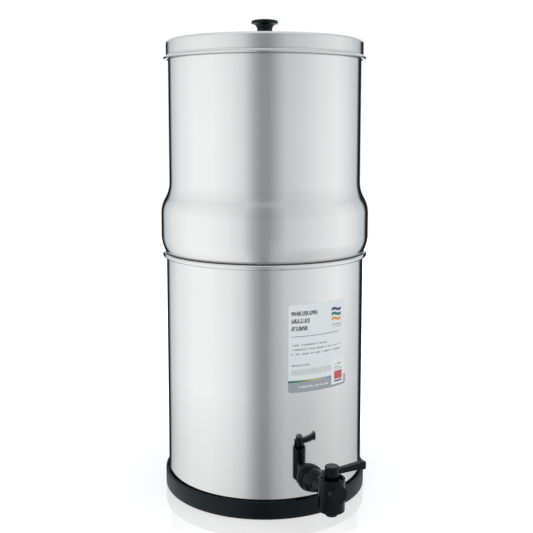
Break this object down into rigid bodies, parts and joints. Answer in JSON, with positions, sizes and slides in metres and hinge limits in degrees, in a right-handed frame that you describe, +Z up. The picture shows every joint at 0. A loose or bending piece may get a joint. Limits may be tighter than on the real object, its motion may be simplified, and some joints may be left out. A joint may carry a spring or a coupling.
{
  "type": "gravity water filter with tap",
  "caption": "Two stacked stainless steel chambers with a lid: water drips through ceramic candles in the upper one and is drawn from the lower one by a lever tap.",
  "frame": {"origin": "on the axis of the chambers, in the plane that the base ring stands on", "axes": "+Z up along the chambers' axis; -Y is the way the tap points; the closed lever points to +X"},
  "size_m": [0.2266, 0.2798, 0.5127],
  "materials": {
    "polished_steel": "mirror polished sheet",
    "black_rubber": "satin moulded rubber",
    "black_plastic": "satin moulded plastic",
    "label_paper": "coated paper sticker",
    "white_ceramic": "unglazed porous ceramic",
    "carbon_block": "pressed carbon granules",
    "white_plastic": "moulded plastic",
    "plated_screw": "plated steel"
  },
  "bodies": {
    "lower": {"base_ring": "black_rubber", "lower_chamber": "polished_steel", "label": "label_paper", "tap_body": "black_plastic", "tap_outer_washer": "black_rubber", "tap_inner_washer": "black_rubber", "tap_lock_nut": "black_plastic", "tap_front_cap": "black_plastic", "tap_retaining_ring": "black_plastic"},
    "tap_plug": {"tap_plug": "black_plastic", "tap_plug_seals": "black_rubber", "tap_lever": "black_plastic"},
    "upper": {"upper_chamber": "polished_steel", "candle_shell_left": "white_ceramic", "candle_core_left": "carbon_block", "candle_mount_left": "white_plastic", "candle_washer_left": "black_rubber", "candle_wing_nut_left": "white_plastic", "candle_shell_right": "white_ceramic", "candle_core_right": "carbon_block", "candle_mount_right": "white_plastic", "candle_washer_right": "black_rubber", "candle_wing_nut_right": "white_plastic", "blanking_plug_front": "black_rubber", "blanking_plug_rear": "black_rubber", "blanking_washers": "black_rubber", "blanking_wing_nuts": "white_plastic"},
    "lid": {"lid": "polished_steel", "lid_knob": "black_plastic", "lid_knob_screw": "plated_screw", "lid_knob_washer": "plated_screw"}
  },
  "joints": [
    {"name": "tap_turn", "type": "hinge", "parent": "lower", "child": "tap_plug", "pos_m": [0, -0.1532, 0.06], "axis": [0, 0, 1], "range_deg": [-90, 0]},
    {"name": "upper_lift", "type": "slide", "parent": "lower", "child": "upper", "axis": [0, 0, 1], "range_m": [0, 0.12]},
    {"name": "lid_lift", "type": "slide", "parent": "upper", "child": "lid", "axis": [0, 0, 1], "range_m": [0, 0.06]}
  ]
}
